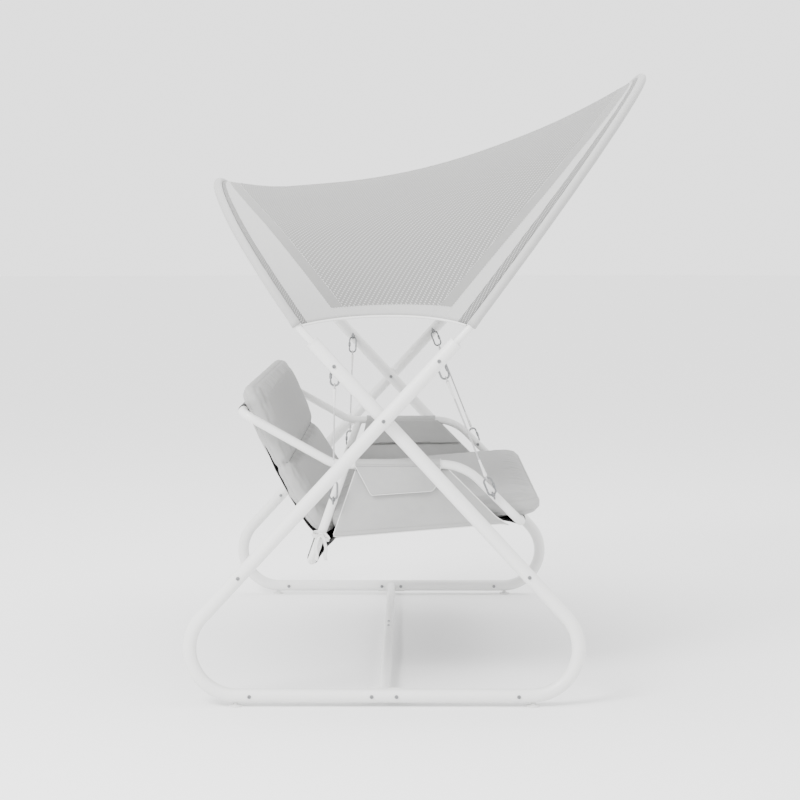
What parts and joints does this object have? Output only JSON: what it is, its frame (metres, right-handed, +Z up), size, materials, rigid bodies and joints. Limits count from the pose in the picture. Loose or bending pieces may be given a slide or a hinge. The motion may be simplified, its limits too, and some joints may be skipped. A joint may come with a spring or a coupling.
{
  "type": "canopy garden swing",
  "caption": "Wide cushioned bench with armrests, hung on wire ropes with snap hooks inside crossed tube legs, under a saddle-shaped mesh canopy on two arches.",
  "frame": {"origin": "on the floor, at the middle of the whole object's bounding box", "axes": "+X the way the sitter faces, +Y the sitter's left, +Z up"},
  "size_m": [1.3445, 1.812, 1.7831],
  "materials": {
    "white_powder_coat": "white powder coat with a fine texture",
    "light_plastic": "matt moulded plastic",
    "zinc_steel": "dull zinc plating",
    "coated_wire_rope": "wire rope under a light grey plastic coat",
    "black_mesh_fabric": "coated black sling weave",
    "grey_fabric": "plain grey polyester weave",
    "light_mesh_fabric": "light grey open mesh"
  },
  "bodies": {
    "stand": {"base_tube_right": "white_powder_coat", "base_tube_left": "white_powder_coat", "rear_bend_right": "white_powder_coat", "rear_bend_left": "white_powder_coat", "front_bend_right": "white_powder_coat", "front_bend_left": "white_powder_coat", "outer_leg_right": "white_powder_coat", "outer_leg_left": "white_powder_coat", "inner_leg_right": "white_powder_coat", "inner_leg_left": "white_powder_coat", "leg_end_caps": "light_plastic", "cross_tube_right": "white_powder_coat", "cross_tube_left": "white_powder_coat", "cross_tube_saddles": "white_powder_coat", "frame_bolts": "zinc_steel", "upper_eye_bolts": "zinc_steel", "front_arch_right": "white_powder_coat", "front_arch_left": "white_powder_coat", "rear_arch_right": "white_powder_coat", "rear_arch_left": "white_powder_coat", "arch_joint_plugs": "light_plastic", "canopy_panel": "light_mesh_fabric", "canopy_front_sleeve": "light_mesh_fabric", "canopy_rear_sleeve": "light_mesh_fabric", "canopy_edge_cords": "light_mesh_fabric", "foot_rear_right": "light_plastic", "foot_front_right": "light_plastic", "foot_rear_left": "light_plastic", "foot_front_left": "light_plastic"},
    "hanger_rear_right": {"hooks_rear_right": "zinc_steel", "rope_rear_right": "coated_wire_rope"},
    "gate_upper_rear_right": {"upper_gate_rear_right": "zinc_steel"},
    "gate_lower_rear_right": {"lower_gate_rear_right": "zinc_steel"},
    "hanger_front_right": {"hooks_front_right": "zinc_steel", "rope_front_right": "coated_wire_rope"},
    "gate_upper_front_right": {"upper_gate_front_right": "zinc_steel"},
    "gate_lower_front_right": {"lower_gate_front_right": "zinc_steel"},
    "hanger_rear_left": {"hooks_rear_left": "zinc_steel", "rope_rear_left": "coated_wire_rope"},
    "gate_upper_rear_left": {"upper_gate_rear_left": "zinc_steel"},
    "gate_lower_rear_left": {"lower_gate_rear_left": "zinc_steel"},
    "hanger_front_left": {"hooks_front_left": "zinc_steel", "rope_front_left": "coated_wire_rope"},
    "gate_upper_front_left": {"upper_gate_front_left": "zinc_steel"},
    "gate_lower_front_left": {"lower_gate_front_left": "zinc_steel"},
    "seat": {"arm_tube_right": "white_powder_coat", "arm_tube_left": "white_powder_coat", "side_tube_right": "white_powder_coat", "side_tube_left": "white_powder_coat", "upper_rear_tube": "white_powder_coat", "front_tube": "white_powder_coat", "lower_rear_tube": "white_powder_coat", "lower_eye_bolts": "zinc_steel", "sling": "black_mesh_fabric", "seat_cushion": "grey_fabric", "back_cushion": "grey_fabric", "arm_panels": "grey_fabric", "arm_covers": "grey_fabric", "cushion_ties": "grey_fabric"}
  },
  "joints": [
    {"name": "swing_rear_right", "type": "hinge", "parent": "stand", "child": "hanger_rear_right", "pos_m": [-0.2548, -0.79967, 0.92334], "axis": [0, 1, 0], "range_deg": [-12, 12]},
    {"name": "gate_upper_rear_right", "type": "hinge", "parent": "hanger_rear_right", "child": "gate_upper_rear_right", "pos_m": [-0.26686, -0.79144, 0.89107], "axis": [0.0065, 0.9695, 0.245], "range_deg": [0, 20], "stiffness_Nm_per_rad": 0.02, "springref_deg": -28.65},
    {"name": "gate_lower_rear_right", "type": "hinge", "parent": "hanger_rear_right", "child": "gate_lower_rear_right", "pos_m": [-0.2749, -0.71506, 0.58907], "axis": [-0.0065, -0.9695, -0.245], "range_deg": [0, 20], "stiffness_Nm_per_rad": 0.02, "springref_deg": -28.65},
    {"name": "swing_front_right", "type": "hinge", "parent": "stand", "child": "hanger_front_right", "pos_m": [0.03274, -0.84534, 0.9411], "axis": [0, 1, 0], "range_deg": [-11.9, 11.9]},
    {"name": "gate_upper_front_right", "type": "hinge", "parent": "hanger_front_right", "child": "gate_upper_front_right", "pos_m": [0.0549, -0.8344, 0.91572], "axis": [0.1204, -0.9455, -0.3024], "range_deg": [0, 20], "stiffness_Nm_per_rad": 0.02, "springref_deg": -28.65},
    {"name": "gate_lower_front_right", "type": "hinge", "parent": "hanger_front_right", "child": "gate_lower_front_right", "pos_m": [0.17973, -0.71827, 0.6023], "axis": [-0.1204, 0.9455, 0.3024], "range_deg": [0, 20], "stiffness_Nm_per_rad": 0.02, "springref_deg": -28.65},
    {"name": "swing_rear_left", "type": "hinge", "parent": "stand", "child": "hanger_rear_left", "pos_m": [-0.2548, 0.79967, 0.92334], "axis": [0, 1, 0], "range_deg": [-12, 12]},
    {"name": "gate_upper_rear_left", "type": "hinge", "parent": "hanger_rear_left", "child": "gate_upper_rear_left", "pos_m": [-0.26686, 0.79144, 0.89107], "axis": [-0.0065, 0.9695, -0.245], "range_deg": [0, 20], "stiffness_Nm_per_rad": 0.02, "springref_deg": -28.65},
    {"name": "gate_lower_rear_left", "type": "hinge", "parent": "hanger_rear_left", "child": "gate_lower_rear_left", "pos_m": [-0.2749, 0.71506, 0.58907], "axis": [0.0065, -0.9695, 0.245], "range_deg": [0, 20], "stiffness_Nm_per_rad": 0.02, "springref_deg": -28.65},
    {"name": "swing_front_left", "type": "hinge", "parent": "stand", "child": "hanger_front_left", "pos_m": [0.03274, 0.84534, 0.9411], "axis": [0, 1, 0], "range_deg": [-11.9, 11.9]},
    {"name": "gate_upper_front_left", "type": "hinge", "parent": "hanger_front_left", "child": "gate_upper_front_left", "pos_m": [0.0549, 0.8344, 0.91572], "axis": [-0.1204, -0.9455, 0.3024], "range_deg": [0, 20], "stiffness_Nm_per_rad": 0.02, "springref_deg": -28.65},
    {"name": "gate_lower_front_left", "type": "hinge", "parent": "hanger_front_left", "child": "gate_lower_front_left", "pos_m": [0.17973, 0.71827, 0.6023], "axis": [0.1204, 0.9455, -0.3024], "range_deg": [0, 20], "stiffness_Nm_per_rad": 0.02, "springref_deg": -28.65},
    {"name": "seat_tilt", "type": "hinge", "parent": "hanger_rear_right", "child": "seat", "pos_m": [-0.26457, -0.70683, 0.55621], "axis": [0, 1, 0], "range_deg": [-8, 8]}
  ],
  "couplings": [
    {"joint": "swing_front_right", "follows": "swing_rear_right", "ratio": 0.9753},
    {"joint": "swing_rear_left", "follows": "swing_rear_right", "ratio": 1},
    {"joint": "swing_front_left", "follows": "swing_rear_right", "ratio": 0.9753},
    {"joint": "seat_tilt", "follows": "swing_rear_right", "ratio": -0.6535}
  ]
}
